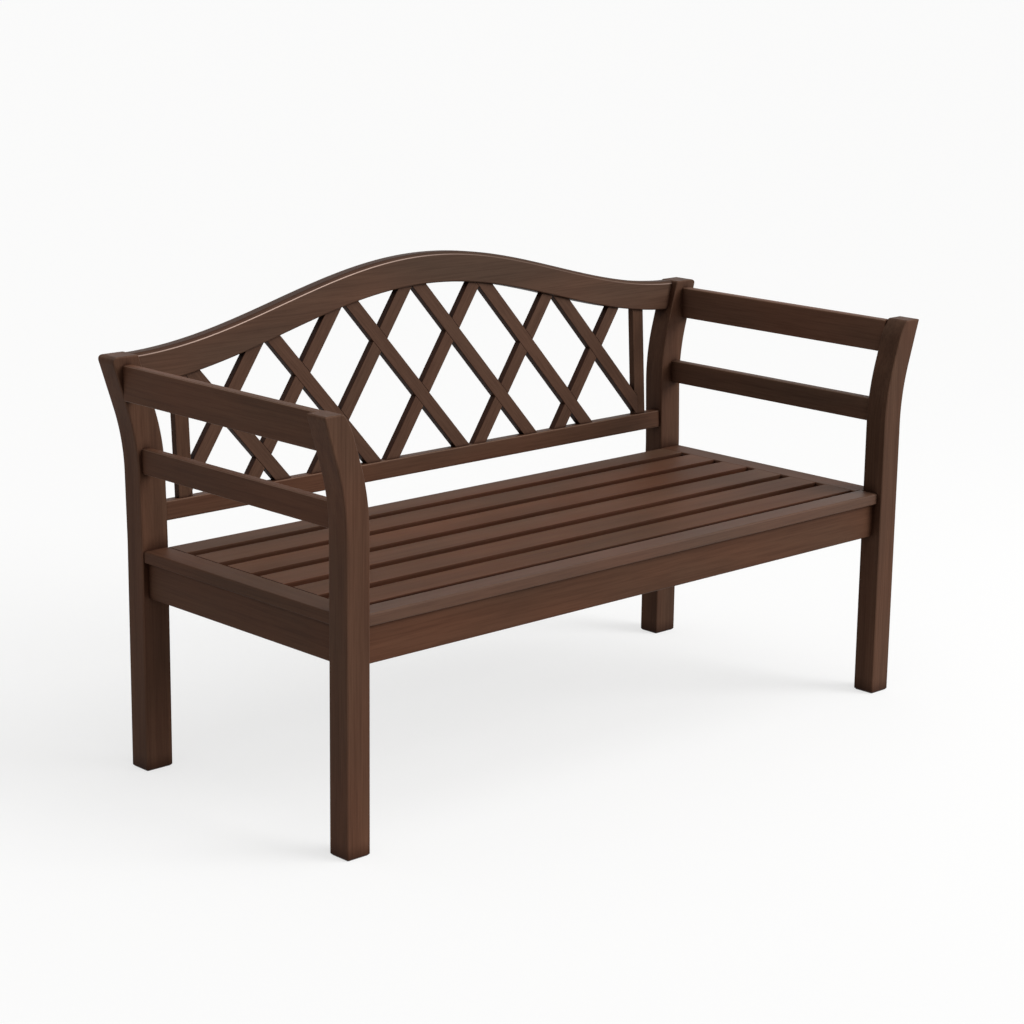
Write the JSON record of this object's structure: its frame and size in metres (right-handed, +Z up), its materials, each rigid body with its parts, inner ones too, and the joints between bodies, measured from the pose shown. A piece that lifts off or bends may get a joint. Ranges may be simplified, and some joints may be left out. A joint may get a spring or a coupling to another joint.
{
  "type": "garden bench",
  "caption": "Wooden garden bench with a humped crest rail, a diagonal lattice back, legs that flare outwards at the top, side arm rails and a slatted seat.",
  "frame": {"origin": "on the floor, at the middle of the bench's width and depth", "axes": "+X along the bench towards its right-hand end seen from the front, +Y towards the back, +Z up"},
  "size_m": [1.5318, 0.657, 0.8973],
  "materials": {
    "stained_wood": "satin dark brown stain over visible grain",
    "inner_wood": "thin brown stain on sawn faces under the seat",
    "dowel_wood": "plain hardwood",
    "zinc_steel": "zinc-plated"
  },
  "bodies": {
    "root": {"post_front_left": "stained_wood", "post_front_right": "stained_wood", "post_back_left": "stained_wood", "post_back_right": "stained_wood", "crest_rail": "stained_wood", "back_lower_rail": "stained_wood", "back_stile_left": "stained_wood", "back_stile_right": "stained_wood", "lattice_rising_1": "stained_wood", "lattice_rising_2": "stained_wood", "lattice_rising_3": "stained_wood", "lattice_rising_4": "stained_wood", "lattice_rising_5": "stained_wood", "lattice_rising_6": "stained_wood", "lattice_falling_1": "stained_wood", "lattice_falling_2": "stained_wood", "lattice_falling_3": "stained_wood", "lattice_falling_4": "stained_wood", "lattice_falling_5": "stained_wood", "lattice_falling_6": "stained_wood", "arm_rail_left": "stained_wood", "arm_rail_right": "stained_wood", "middle_rail_left": "stained_wood", "middle_rail_right": "stained_wood", "apron_front": "stained_wood", "apron_back": "stained_wood", "apron_left": "stained_wood", "apron_right": "stained_wood", "seat_front_board": "stained_wood", "seat_back_board": "stained_wood", "seat_end_board_left": "stained_wood", "seat_end_board_right": "stained_wood", "seat_slat_1": "stained_wood", "seat_slat_2": "stained_wood", "seat_slat_3": "stained_wood", "seat_slat_4": "stained_wood", "seat_slat_5": "stained_wood", "bearer_left": "inner_wood", "bearer_middle": "inner_wood", "bearer_right": "inner_wood", "cleat_left": "inner_wood", "cleat_right": "inner_wood", "corner_block_front_left": "inner_wood", "corner_block_front_right": "inner_wood", "corner_block_back_left": "inner_wood", "corner_block_back_right": "inner_wood", "dowels": "dowel_wood", "seat_screws": "zinc_steel", "cleat_screws": "zinc_steel", "block_screws": "zinc_steel", "corner_bolts": "zinc_steel", "corner_washers": "zinc_steel", "corner_nuts": "zinc_steel"}
  },
  "joints": []
}
